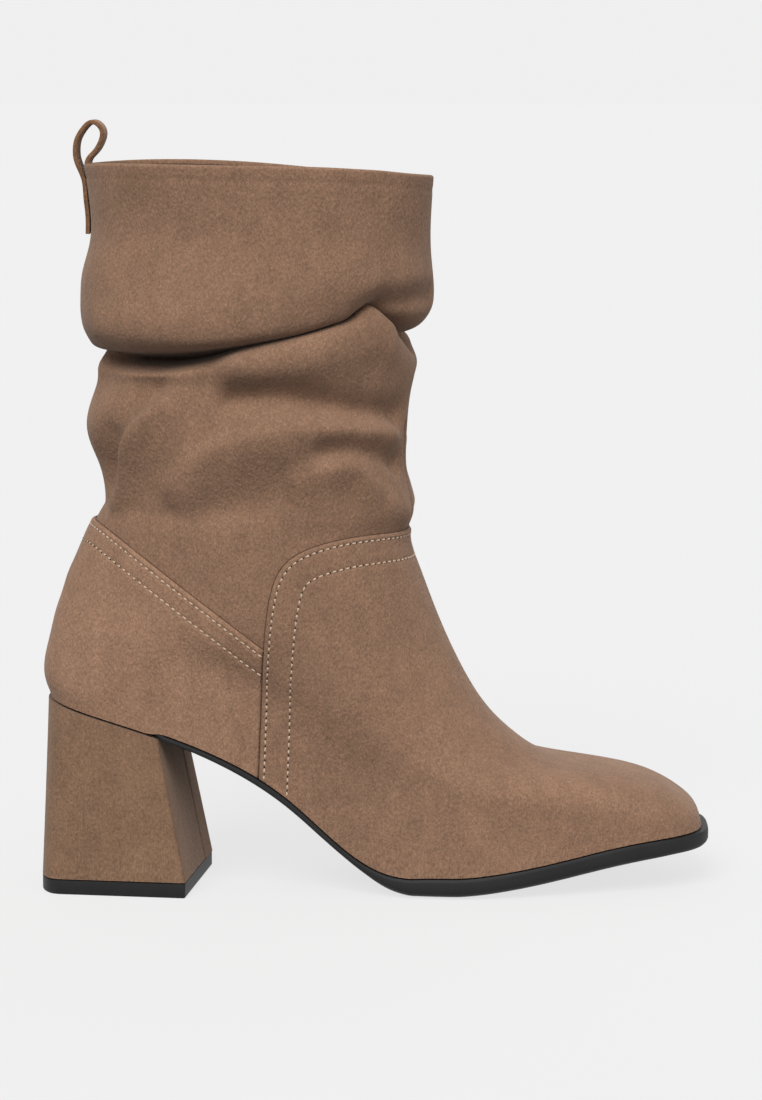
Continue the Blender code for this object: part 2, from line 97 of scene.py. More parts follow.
# Hundredths of LENGTH along, of the way from sole to collar up, and of BALL_WIDTH across. Facet is the
# height of one strip of the mesh.
SECTIONS = (
    # section      back  back_up  front front_up half  facet
    ("feather",     1.0,    0.0,  98.3,    0.0, 40.0, 3.0),
    ("rand",        0.1,    2.9,  97.5,    2.4, 40.0, 5.0),
    ("toe wall",    0.2,    6.6,  95.4,    4.5, 40.0, 5.0),
    ("toe cap",     1.0,   11.1,  92.7,    6.35, 40.0, 5.0),
    ("toe top",     1.8,   15.5,  89.0,    8.2, 40.0, 5.0),
    ("vamp front",  2.8,   19.5,  83.0,   10.4, 41.0, 5.0),
    ("vamp",        3.6,   22.9,  76.0,   12.9, 42.0, 5.0),
    ("vamp back",   4.5,   25.7,  69.8,   17.7, 42.5, 4.0),
    ("instep",      5.4,   28.5,  64.2,   24.4, 43.0, 2.0),
    ("waist",       6.3,   31.3,  59.0,   34.4, 43.5, 1.6),
    ("throat",      7.3,   34.1,  55.8,   42.5, 44.0, 1.4),
    ("ankle",       8.5,   37.0,  54.1,   48.2, 44.5, 1.2),
    ("pleat",       8.9,   39.1,  55.2,   51.9, 45.0, 1.2),
    ("calf low",    8.0,   45.0,  54.2,   57.4, 47.0, 1.2),
    ("calf belly",  6.2,   52.4,  54.1,   62.7, 50.0, 1.2),
    ("calf ridge",  8.0,   60.7,  54.7,   69.4, 51.0, 0.8),
    ("shoulder",    8.0,   63.6,  55.3,   74.8, 53.0, 0.45),
    ("crease",      9.0,   66.5,  53.6,   78.1, 49.0, 0.45),
    ("hem",         7.1,   68.3,  55.7,   79.8, 54.0, 0.9),
    ("cuff belly",  5.6,   78.5,  58.1,   83.6, 57.6, 1.3),
    ("cuff waist",  7.1,   87.4,  57.7,   90.2, 55.9, 0.7),
    ("collar",      6.2,  100.0,  58.1,  100.0, 57.5, 0.0),
)
ROW = {row[0]: index for index, row in enumerate(SECTIONS)}
TOP_ROW = len(SECTIONS) - 1

# The cuff's crease climbs to the outer front and the collar waves. Above its crease the cuff hangs down
# over the shoulder at the back, and at the front the shoulder stands up before the cuff.
CUFF = np.array((
    # around crease collar hang stand groove
    (  0,   0.0,   0.0,  2.0,   0.0,   0.8),
    ( 30,  -0.6,   1.0,  2.2,  -0.8,  10.0),
    ( 60,  -1.0,   1.8,  2.4,  -0.4,  13.0),
    ( 78,  -0.6,   2.2,  2.2,   1.6,   9.0),
    ( 95,   0.4,   2.5,  1.4,   4.0,   4.4),
    (112,   2.2,   2.7,  0.8,   4.8,   3.2),
    (124,   4.4,   2.4,  0.7,   5.2,   3.0),
    (133,   6.8,   2.1,  0.6,   5.8,   2.9),
    (139,   9.4,   1.8,  0.5,   6.4,   2.8),
    (145,   7.4,   1.4,  0.5,   5.4,   2.7),
    (160,   1.8,   0.7,  0.4,   2.4,   3.2),
    (180,  -2.6,   0.0,  0.4,   0.2,   6.5),
    (205,   2.0,  -0.9,  0.6,   1.6,   3.0),
    (240,   0.5,  -0.7,  1.6,   2.5,   3.0),
    (270,   0.0,   1.1,  1.8,   1.0,   4.0),
    (310,  -0.5,   1.4,  1.8,   0.0,   4.0),
))
CREASE, COLLAR, HANG, STAND, GROOVE = range(1, 6)
CREASE_REACH = 22.0             # to either side of the crease
HANG_AT, HANG_REACH = 5.0, 4.6  # places are above the crease, or below it under 0
STAND_AT, STAND_REACH = -4.5, 3.7
GROOVE_AT, GROOVE_REACH = -1.6, 3.0
# Painted shade in the cuff's groove: the groove's depth where it is full, its reach, and how much darker it
# paints the suede.
SHADE_FULL, SHADE_REACH, SHADE_DARK = 9.0, 2.2, 0.9
COLLAR_SEAM, COLLAR_SEAM_DEEP, COLLAR_SEAM_REACH = 4.3, 0.16, 0.9    # below the collar

# Folds of the leg: each is a soft ridge (out above 0) or trough along a path of places,
# each place its degrees around and its height. Left and right are its reach to either side of the path.
LEG_RADIUS = 52.0
FOLD_FADE = 2                   # sections over which the folds die out at the throat and the collar
FOLDS = (
    # out  left right path
    (3.0, 2.8, 9.0, ((84, 192), (97, 194), (110, 197), (124, 201), (137, 204.5), (148, 201))),
    (1.2, 3.0, 5.0, ((8, 187), (25, 188), (40, 189), (55, 190), (70, 192), (84, 194))),
    (-3.6, 9.0, 10.0, ((20, 189), (40, 190), (58, 191), (74, 192))),
    (1.6, 9.0, 4.0, ((12, 205), (40, 204), (75, 203))),
    (-4.7, 6.0, 4.5, ((86, 180), (97, 181.5), (106, 180.5), (119, 178), (135, 174.5), (160, 172))),
    (3.4, 12.0, 5.0, ((152, 167.5), (124, 169), (108, 169), (91, 166), (75, 158), (62, 148))),
    (-3.6, 5.5, 4.0, ((121, 161), (132, 162), (145, 160), (160, 155))),
    (2.4, 4.0, 8.0, ((110, 150), (122, 155), (132, 155), (141, 148))),
    (3.0, 4.0, 7.0, ((26, 140), (33, 147), (40, 156), (46, 165), (51, 172), (57, 177))),
    (-3.4, 9.0, 3.6, ((28, 152), (35, 160), (41, 168), (46, 175), (52, 181))),
    (-2.8, 6.0, 5.0, ((18, 147), (26, 157), (31, 165))),
    (1.6, 6.0, 6.0, ((150, 141), (160, 138))),
    (-1.4, 7.0, 7.0, ((60, 138), (90, 142), (104, 147))),
    (2.2, 6.0, 6.0, ((196, 140), (199, 150), (197, 161))),
    (-2.4, 2.6, 2.6, ((176, 136), (178, 150), (175, 167))),
    (1.2, 5.0, 6.0, ((190, 190), (197, 195), (206, 197))),
    (-3.2, 6.0, 5.0, ((215, 190), (240, 184), (262, 178))),
    (3.0, 6.0, 9.0, ((222, 170), (255, 176), (285, 184))),
    (-2.6, 6.0, 5.0, ((240, 156), (268, 159), (292, 164))),
    (2.6, 6.0, 6.0, ((300, 158), (312, 170), (322, 182))),
    (2.2, 4.0, 8.0, ((206, 198), (235, 196), (265, 192))),
    (1.8, 8.0, 5.0, ((290, 202), (320, 203), (350, 204))),
    (-2.6, 5.0, 3.5, ((132, 211), (150, 214), (170, 215))),
    (0.4, 4.0, 5.0, ((160, 208), (172, 209), (182, 210))),
    (1.6, 11.0, 4.0, ((30, 205), (50, 205), (73, 204), (95, 206))),
    (-0.9, 10.0, 10.0, ((58, 240), (82, 236))),
    (0.8, 12.0, 12.0, ((100, 231), (126, 236))),
    (-1.0, 9.0, 9.0, ((140, 229), (150, 243))),
    (0.8, 9.0, 9.0, ((28, 226), (42, 240))),
    (-0.9, 10.0, 10.0, ((230, 238), (262, 232))),
    (0.9, 10.0, 10.0, ((285, 228), (310, 238))),
)


def curve(at_known, known, at):
    """Smooth curve (natural cubic) through known values; known may have several columns."""
    known = np.asarray(known, float)
    flat = known.reshape(len(known), -1)
    step = np.diff(at_known)
    slope = np.diff(flat, axis=0) / step[:, None]
    count = len(flat)
    matrix = np.eye(count)
    right = np.zeros_like(flat)
    for k in range(1, count - 1):
        matrix[k, k - 1:k + 2] = step[k - 1], 2 * (step[k - 1] + step[k]), step[k]
        right[k] = 6 * (slope[k] - slope[k - 1])
    bend = np.linalg.solve(matrix, right)
    at = np.asarray(at, float)
    k = np.clip(np.searchsorted(at_known, at, side="right") - 1, 0, count - 2)
    run = step[k][..., None]
    after = (at - np.asarray(at_known)[k])[..., None]
    before = run - after
    value = ((bend[k] * before ** 3 + bend[k + 1] * after ** 3) / (6 * run)
             + (flat[k] / run - bend[k] * run / 6) * before
             + (flat[k + 1] / run - bend[k + 1] * run / 6) * after)
    return value.reshape(at.shape + known.shape[1:])


def ease(share):
    share = np.clip(share, 0.0, 1.0)
    return share * share * (3 - 2 * share)


def bell(distance, reach):
    return np.exp(-(distance / reach) ** 2)


def end_round(distance, length, square):
    """Half width, as a share, at a distance from a rounded end."""
    left = 1 - np.clip(distance / length, 0.0, 1.0)
    return (1 - left ** square) ** (1 / square)


def sole_under(x):
    at = np.clip(x / LENGTH, 0.0, 1.0)
    rear = curve(ALONG, ARCH, at) * HEEL_HEIGHT * (at < TREAD_FROM)
    fore = curve(ALONG, SPRING, at) * TOE_SPRING * (at > TREAD_TO)
    return np.maximum(rear, 0.0) + np.maximum(fore, 0.0)


def sole_top(x):
    at = np.clip(x / LENGTH, 0.0, 1.0)
    return sole_under(x) + curve(ALONG, THICK, at) * SOLE_THICK


def sole_sides(x):
    """Centre and half width of the sole, before its ends are rounded."""
    at = np.clip(x / LENGTH, 0.0, 1.0)
    outer, inner = np.moveaxis(curve(ALONG, SOLE[:, 4:], at) * BALL_WIDTH, -1, 0)
    return (inner - outer) / 2, (inner + outer) / 2


def section_sizes():
    """Back, back height, front, front height and half width of every section, in millimetres."""
    rows = []
    for _, back, back_up, front, front_up, half, _ in SECTIONS:
        back_x, front_x = back / 100 * LENGTH, front / 100 * LENGTH
        back_seat = sole_top(back_x) + FEATHER_GAP
        front_seat = sole_top(front_x) + FEATHER_GAP
        rows.append((back_x, back_seat + back_up / 100 * (COLLAR_BACK - back_seat),
                     front_x, front_seat + front_up / 100 * (COLLAR_FRONT - front_seat),
                     half / 100 * BALL_WIDTH))
    return np.array(rows)


SIZES = section_sizes()


def slant(section, share):
    """Height of a section at a share of the way from its back to its front."""
    _, back_z, _, front_z, _ = SIZES[section]
    return back_z + (front_z - back_z) * share


def cuff_value(around, column):
    """A column of CUFF at places around, joined up all the way round."""
    turns = np.concatenate([CUFF[:, 0] + turn for turn in (-360, 0, 360)])
    return curve(turns, np.tile(CUFF[:, column], 3), around % 360)


def fold_out(around, height):
    """How far the folds push the leg's wall outwards."""
    out = np.zeros(np.broadcast(around, height).shape)
    for push, left, right, path in FOLDS:
        path = np.array(path, float)
        middle = path[:, 0].mean()
        turned = (around - middle + 180) % 360 - 180 + middle
        nearest = np.full(out.shape, np.inf)
        lean = np.zeros(out.shape)
        for a, b in zip(path[:-1], path[1:]):
            side, up = np.radians(turned - a[0]) * LEG_RADIUS, height - a[1]
            run, climb = np.radians(b[0] - a[0]) * LEG_RADIUS, b[1] - a[1]
            share = np.clip((side * run + up * climb) / (run * run + climb * climb), 0.0, 1.0)
            away = np.hypot(side - share * run, up - share * climb)
            to_left = (run * up - climb * side) / np.hypot(run, climb) / (away + 1e-9)
            lean = np.where(away < nearest, to_left, lean)
            nearest = np.minimum(nearest, away)
        out = out + push * bell(nearest, (left + right) / 2 + (left - right) / 2 * lean)
    return out


def upper_point(turn, row):
    """The upper's surface by place around (0 back, a quarter outer side, a half front) and section row."""
    turn, row = np.broadcast_arrays(np.asarray(turn, float), np.asarray(row, float))
    back, back_z, front, front_z, half = np.moveaxis(curve(np.arange(TOP_ROW + 1.0), SIZES, row), -1, 0)
    share = (1 - np.cos(2 * np.pi * turn)) / 2
    x = back + (front - back) * share
    follow = ease((front - LEG_FRONT) / (SIZES[0, 2] - LEG_FRONT))
    centre, foot_half = sole_sides(x)
    wide = follow * (foot_half - (SIDE_LIP + PANEL + GAP)) + (1 - follow) * half
    middle_long = (front - back) / 2
    wide = wide * end_round(x - back, middle_long + follow * (HEEL_ROUND - middle_long),
                            LEG_OVAL + follow * (HEEL_SQUARE - LEG_OVAL))
    wide = wide * end_round(front - x, middle_long + follow ** 2 * (TOE_ROUND - middle_long),
                            LEG_OVAL + follow ** 4 * (TOE_SQUARE - LEG_OVAL))
    y = follow * centre - np.sign(np.sin(2 * np.pi * turn)) * wide
    straight = sole_top(back) + (sole_top(front) - sole_top(back)) * share
    z = back_z + (front_z - back_z) * share + follow * (sole_top(x) - straight)
    around = 360 * turn
    z = z + cuff_value(around, COLLAR) * ease((row - ROW["hem"]) / (TOP_ROW - ROW["hem"]))
    above = z - slant(ROW["crease"], share)
    z = z + cuff_value(around, CREASE) * bell(above, CREASE_REACH)
    fade = ease((row - ROW["throat"]) / FOLD_FADE) * ease((TOP_ROW - row) / FOLD_FADE)
    out = fold_out(around, z) * fade
    out = out - cuff_value(around, GROOVE) * bell(above - GROOVE_AT, GROOVE_REACH)
    below = slant(TOP_ROW, share) + cuff_value(around, COLLAR) - z
    out = out - COLLAR_SEAM_DEEP * bell(below - COLLAR_SEAM, COLLAR_SEAM_REACH)
    z = z - cuff_value(around, HANG) * bell(above - HANG_AT, HANG_REACH)
    z = z + cuff_value(around, STAND) * bell(above - STAND_AT, STAND_REACH)
    axis_x = (back + front) / 2
    away = np.hypot(x - axis_x, y) + 1e-9
    return np.stack((x + out * (x - axis_x) / away, y + out * y / away, z), -1)


def groove_shade(turn, row):
    """How much painted shade a place takes in the cuff's groove, from 0 to 1."""
    _, back_z, _, front_z, _ = np.moveaxis(curve(np.arange(TOP_ROW + 1.0), SIZES, row), -1, 0)
    share = (1 - np.cos(2 * np.pi * turn)) / 2
    above = back_z + (front_z - back_z) * share - slant(ROW["crease"], share)
    deep = np.clip(cuff_value(360 * turn, GROOVE) / SHADE_FULL, 0.0, 1.0)
    return deep * bell(above - GROOVE_AT, SHADE_REACH)


def upper_normal(turn, row):
    tiny_turn, tiny_row = 0.0015, 0.015
    across = upper_point(turn + tiny_turn, row) - upper_point(turn - tiny_turn, row)
    up = (upper_point(turn, np.clip(row + tiny_row, 0, TOP_ROW))
          - upper_point(turn, np.clip(row - tiny_row, 0, TOP_ROW)))
    normal = np.cross(across, up)
    return normal / np.linalg.norm(normal, axis=-1, keepdims=True)


def on_heel(x):
    """One over the heel's seat, none from its breast forward."""
    return ease((HEEL_BREAST - x) / SEAT_RUN)


def skin(turn, row, out):
    """The upper's surface moved out (or in, below 0); its lower edge stays on the sole."""
    turn, row = np.broadcast_arrays(np.asarray(turn, float), np.asarray(row, float))
    points = upper_point(turn, row) + np.asarray(out)[..., None] * upper_normal(turn, row)
    x = points[..., 0]
    seat = sole_top(x) + FEATHER_GAP
    seat = seat + (sole_under(x) + SEAT_CLEAR - seat) * on_heel(x)
    points[..., 2] = np.where(row <= 0, seat, points[..., 2])
    return points


SHARP_EDGE = np.radians(50)     # faces that meet at more than this keep their edge


def add_object(name, data):
    item = bpy.data.objects.new(name, data)
    bpy.context.scene.collection.objects.link(item)
    return item


def add_piece(name, points, faces, materials, face_material=None):
    """A smooth mesh object at the origin from points in the boot's own frame."""
    mesh = bpy.data.meshes.new(name)
    mesh.from_pydata((np.asarray(points, float) * MM + ORIGIN).tolist(), [], faces)
    for material in materials:
        mesh.materials.append(material)
    if face_material is not None:
        mesh.polygons.foreach_set("material_index", np.asarray(face_material, np.int32))
    mesh.shade_smooth()
    mesh.set_sharp_from_angle(angle=SHARP_EDGE)
    return add_object(name, mesh)


def ring_faces(rows, columns, wrap=True):
    """Quads between rows of points; wrap joins the last column to the first."""
    r, c = np.meshgrid(np.arange(rows - 1), np.arange(columns if wrap else columns - 1), indexing="ij")
    low, low_next = r * columns + c, r * columns + (c + 1) % columns
    quads = np.stack((low, low_next, low_next + columns, low + columns), -1)
    return quads.reshape(-1, 4).tolist()


def add_nodes(tree, *kinds):
    return [tree.nodes.new(kind) for kind in kinds]


def noise(tree, place, scale, detail, stretch=(1, 1, 1), turned=(0, 0, 0)):
    """Factor of a noise on a place, stretched and turned; scale is in features to the metre."""
    mapping, texture = add_nodes(tree, "ShaderNodeMapping", "ShaderNodeTexNoise")
    mapping.inputs["Scale"].default_value = stretch
    mapping.inputs["Rotation"].default_value = turned
    texture.inputs["Scale"].default_value = scale
    texture.inputs["Detail"].default_value = detail
    tree.links.new(place, mapping.inputs["Vector"])
    tree.links.new(mapping.outputs["Vector"], texture.inputs["Vector"])
    return texture.outputs["Fac"]


def weighed(tree, *parts):
    """Sum of factors about their middle, each with its weight."""
    total = None
    for factor, weight in parts:
        term, = add_nodes(tree, "ShaderNodeMath")
        term.operation = "MULTIPLY_ADD"
        term.inputs[1].default_value = weight
        term.inputs[2].default_value = 0.5 - sum(weight for _, weight in parts) / 2
        tree.links.new(factor, term.inputs[0])
        if total is not None:
            tree.links.new(total, term.inputs[2])
        total = term.outputs[0]
    return total


def shaded(tree, factor, tone, dark, light):
    """Colour from a factor about its middle: a tone, between a darker and a lighter share of it."""
    ramp, = add_nodes(tree, "ShaderNodeValToRGB")
    stops = ramp.color_ramp.elements
    stops.new(0.5)
    for stop, place, share in zip(stops, (0.2, 0.5, 0.8), (dark, 1.0, light)):
        stop.position = place
        stop.color = (*(np.array(tone) * share), 1)
    tree.links.new(factor, ramp.inputs["Fac"])
    return ramp.outputs["Color"]


def raised(tree, height, strength, distance, below=None):
    """Bump normal from a height factor; distance is in millimetres."""
    bump, = add_nodes(tree, "ShaderNodeBump")
    bump.inputs["Strength"].default_value = strength
    bump.inputs["Distance"].default_value = distance * MM
    tree.links.new(height, bump.inputs["Height"])
    if below is not None:
        tree.links.new(below, bump.inputs["Normal"])
    return bump.outputs["Normal"]


def new_material(name, roughness, specular):
    material = bpy.data.materials.new(name)
    material.use_nodes = True
    tree = material.node_tree
    shader = tree.nodes["Principled BSDF"]
    shader.inputs["Roughness"].default_value = roughness
    shader.inputs["Specular IOR Level"].default_value = specular
    coordinates, = add_nodes(tree, "ShaderNodeTexCoord")
    return material, tree, shader, coordinates.outputs["Object"]


PILE, FLECK, MOTTLE, LIE = 1900, 950, 150, 26    # features of the suede to the metre, fine to broad
PILE_DARK, PILE_LIGHT = 0.66, 1.42               # tones of the pile beside its middle tone


def suede(name, tone, brush=(0.0, 0.75, 0.0), dark_in=None):
    """Brushed faux suede: a fine short pile in streaks, mottled where the pile lies over.

    dark_in names a mesh attribute of painted shade, by which the suede is painted darker where the cuff's
    groove takes no light.
    """
    material, tree, shader, place = new_material(name, 0.95, 0.12)
    pile = noise(tree, place, PILE, 3, (1.0, 1.0, 0.7), brush)
    fleck = noise(tree, place, FLECK, 2, (1.0, 1.0, 0.75), brush)
    mottle = noise(tree, place, MOTTLE, 3, (1.0, 1.0, 0.7), brush)
    lie = noise(tree, place, LIE, 2)
    factor = weighed(tree, (pile, 1.0), (fleck, 0.45), (mottle, 0.32), (lie, 0.34))
    colour = shaded(tree, factor, tone, PILE_DARK, PILE_LIGHT)
    # painted shade: the suede is darkened by the attribute that dark_in names
    if dark_in is not None:
        painted_shade, darker = add_nodes(tree, "ShaderNodeAttribute", "ShaderNodeMix")
        painted_shade.attribute_name = dark_in
        darker.data_type = "RGBA"
        darker.inputs["B"].default_value = (*(np.array(tone) * (1 - SHADE_DARK)), 1)
        tree.links.new(painted_shade.outputs["Fac"], darker.inputs["Factor"])
        tree.links.new(colour, darker.inputs["A"])
        colour = darker.outputs["Result"]
    tree.links.new(colour, shader.inputs["Base Color"])
    relief = raised(tree, fleck, 0.7, 0.5, raised(tree, mottle, 0.3, 0.7))
    tree.links.new(relief, shader.inputs["Normal"])
    shader.inputs["Sheen Weight"].default_value = 0.12
    shader.inputs["Sheen Roughness"].default_value = 0.5
    shader.inputs["Sheen Tint"].default_value = (1.0, 0.86, 0.74, 1)
    return material


def lining_cloth(name, tone):
    """Brown brushed textile, with a fine twill."""
    material, tree, shader, place = new_material(name, 0.9, 0.2)
    rib, = add_nodes(tree, "ShaderNodeTexWave")
    rib.bands_direction = "DIAGONAL"
    rib.inputs["Scale"].default_value = 260
    rib.inputs["Distortion"].default_value = 1.5
    tree.links.new(place, rib.inputs["Vector"])
    fleck = noise(tree, place, 900, 3)
    factor = weighed(tree, (rib.outputs["Fac"], 0.3), (fleck, 0.8))
    tree.links.new(shaded(tree, factor, tone, 0.7, 1.3), shader.inputs["Base Color"])
    tree.links.new(raised(tree, factor, 0.4, 0.2), shader.inputs["Normal"])
    return material


SUEDE_TONE = np.array((0.25, 0.145, 0.092))
# The leg's suede is painted darker with shade in the cuff's groove.
LEG_SUEDE = suede("leg suede", SUEDE_TONE * 0.9, dark_in="painted_shade")
LINING = lining_cloth("lining", (0.085, 0.052, 0.037))
UPPER_COLUMNS = 240
LINING_STEP = 2.6               # height of one strip of the lining
COLLAR_TURN = 0.03              # suede turned in below the collar, as a share of the top section
RIM_ROWS = 6


def skin_rows(facet_of):
    """Section rows of a mesh over the upper; facet_of gives the height of a strip by section."""
    rows = []
    for k in range(TOP_ROW):
        sides = np.array((0.0, 0.25, 0.5))
        heights = upper_point(sides, float(k + 1)) - upper_point(sides, float(k))
        strips = max(1, int(np.ceil(np.linalg.norm(heights, axis=-1).max() / facet_of(k))))
        rows += [k + part / strips for part in range(strips)]
    return np.array(rows + [float(TOP_ROW)])


def upper_wall():
    """Points and quads of the wall: outside up, over the rounded rim, and down the lining inside."""
    turn = np.arange(UPPER_COLUMNS)[None] / UPPER_COLUMNS
    outside = skin_rows(lambda k: SECTIONS[k][-1])
    inside = np.insert(skin_rows(lambda k: LINING_STEP)[::-1], 1, TOP_ROW - COLLAR_TURN)
    rim = np.linspace(0, np.pi, RIM_ROWS + 2)[1:-1]
    rim_out = WALL / 2 * (np.cos(rim) - 1)
    rim_up = WALL / 2 * np.sin(rim)
    grid = [skin(turn, outside[:, None], 0.0)]
    top = skin(turn, np.full((RIM_ROWS, 1), float(TOP_ROW)), rim_out[:, None])
    grid.append(top + rim_up[:, None, None] * np.array((0, 0, 1.0)))
    grid.append(skin(turn, inside[:, None], -WALL))
    points = np.concatenate(grid)
    faces = ring_faces(len(points), UPPER_COLUMNS)
    last = (len(points) - 1) * UPPER_COLUMNS
    faces += [[last + c, last + (c + 1) % UPPER_COLUMNS, (c + 1) % UPPER_COLUMNS, c]
              for c in range(UPPER_COLUMNS)]
    lined = np.arange(len(points)) > len(outside) + RIM_ROWS
    # painted shade of the cuff's groove, on the outside rows only
    painted_shade = np.zeros(points.shape[:2])
    painted_shade[:len(outside)] = groove_shade(turn, outside[:, None])
    return points.reshape(-1, 3), faces, np.repeat(lined, UPPER_COLUMNS).astype(int), painted_shade.ravel()


wall_points, wall_faces, wall_lined, wall_painted_shade = upper_wall()
upper = add_piece("slouched_upper", wall_points, wall_faces, (LEG_SUEDE, LINING), wall_lined)
# The painted shade of the cuff's groove is kept in this attribute.
upper.data.attributes.new("painted_shade", "FLOAT", "POINT").data.foreach_set("value", wall_painted_shade)
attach(upper, "root")
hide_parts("upper")

# Vamp and counter: two suede panels laid over the upper, the vamp from the toe to a squared edge with a
# round corner, the counter round the heel. Their edges are skived thin and turned down.
VAMP_EDGE = np.array((
    # along height
    (78.2, 42.0), (80.3, 84.0), (82.6, 107.0), (86.6, 119.0), (95.5, 126.0), (112.0, 130.0), (131.0, 130.5),
))
COUNTER_TOP = np.array((
    # along height
    (17.6, 133.5), (28.5, 128.8), (54.0, 110.5), (79.6, 91.0),
))
PANEL_PARTING = 0.25
PANEL_TOP = ROW["pleat"]        # both panels end below this section
VAMP_TURNS = (0.14, 0.86, 200)  # from one place around to another, and columns of the mesh
COUNTER_TURNS = (-0.32, 0.32, 140)
PANEL_FACET = 2.0               # height of one strip of a panel's mesh
VAMP_PROUD = 0.2                # the vamp is thicker than the counter
VAMP_RUN_ON = ((-4.0, -80.0), (40.0, 0.0))        # steps beyond both ends of the edge, past the boot
COUNTER_RUN_ON = ((-40.0, 1.0), (40.0, -30.8))
OUTLINE_STEPS = 160
EDGE_ROUND = 1.3                # how far in from its edge a panel reaches its full thickness
EDGE_LEVELS = (0.0, 0.12, 0.35, 0.75, 1.3)
SHADOW_BAND_WIDE = 0.32                 # painted shadow: width of a dark band laid on the upper round a panel, where its edge's shadow falls
PANEL_SEAT = 0.08
SEAM_DEEP, SEAM_REACH = 0.28, 0.55
SEAM_LEVELS = (-0.6, 0.0, 0.6)
VAMP_SEAMS = (1.9, 10.4)        # thread rows, in from the panel's edge
COUNTER_SEAMS = (2.1, 7.9)


def outline(edge, before, after):
    """Smooth side-view line through an edge, run on straight at both ends."""
    index = np.arange(len(edge), dtype=float)
    line = curve(index, edge, np.linspace(0, index[-1], OUTLINE_STEPS))
    return np.concatenate(([line[0] + before], line, [line[-1] + after]))


def inside_of(line, turn, row):
    """Distance in side view of places on the upper from a line, above 0 on its right."""
    x, _, z = np.moveaxis(upper_point(turn, row), -1, 0)
    nearest = np.full(np.shape(x), np.inf)
    signed = np.zeros(np.shape(x))
    for a, b in zip(line[:-1], line[1:]):
        run = b - a
        share = np.clip(((x - a[0]) * run[0] + (z - a[1]) * run[1]) / (run @ run), 0.0, 1.0)
        away = np.hypot(x - a[0] - share * run[0], z - a[1] - share * run[1])
        side = np.sign((x - a[0]) * run[1] - (z - a[1]) * run[0])
        signed = np.where(away < nearest, away * side, signed)
        nearest = np.minimum(nearest, away)
    return signed


VAMP_LINE = outline(VAMP_EDGE, *VAMP_RUN_ON)
COUNTER_LINE = outline(COUNTER_TOP, *COUNTER_RUN_ON)


def vamp_in(turn, row):
    return inside_of(VAMP_LINE, turn, row)


def counter_below(turn, row):
    return inside_of(COUNTER_LINE, turn, row)


def counter_in(turn, row):
    return np.minimum(counter_below(turn, row), -vamp_in(turn, row) - PANEL_PARTING)


def places(form):
    flat = np.array([corner.co[:2] for corner in form.verts])
    return flat[:, 0], flat[:, 1]


def split_along(form, field, level):
    """Cuts every face of a flat form where a field passes a level; returns the cut's corners in a dict,
    which keeps its order, so that every run makes the same mesh."""
    values = field(*places(form)) - level
    values[np.abs(values) < 1e-6] = 0.0
    form.verts.index_update()
    form.verts.ensure_lookup_table()
    on_line = dict.fromkeys(form.verts[k] for k in np.nonzero(values == 0)[0])
    crossed = [edge for edge in form.edges
               if values[edge.verts[0].index] * values[edge.verts[1].index] < 0]
    for edge in crossed:
        a, b = edge.verts
        share = values[a.index] / (values[a.index] - values[b.index])
        on_line[bmesh.utils.edge_split(edge, a, share)[1]] = None
    for face in dict.fromkeys(face for corner in on_line for face in corner.link_faces):
        cut = [corner for corner in face.verts if corner in on_line]
        if len(cut) == 2 and not any(edge.verts[0] in on_line and edge.verts[1] in on_line
                                     for edge in face.edges):
            bmesh.utils.face_split(face, cut[0], cut[1])
    return on_line


def chain(corners):
    """Corners along a cut, in order from one end to the other."""
    beside = {c: [e.other_vert(c) for e in c.link_edges if e.other_vert(c) in corners] for c in corners}
    ends = [c for c in corners if len(beside[c]) == 1]
    start = min(ends, key=lambda c: (c.co.y, c.co.x))
    order, seen = [start], {start}
    while True:
        ahead = [c for c in beside[order[-1]] if c not in seen]
        if not ahead:
            return order
        order.append(ahead[0])
        seen.add(ahead[0])


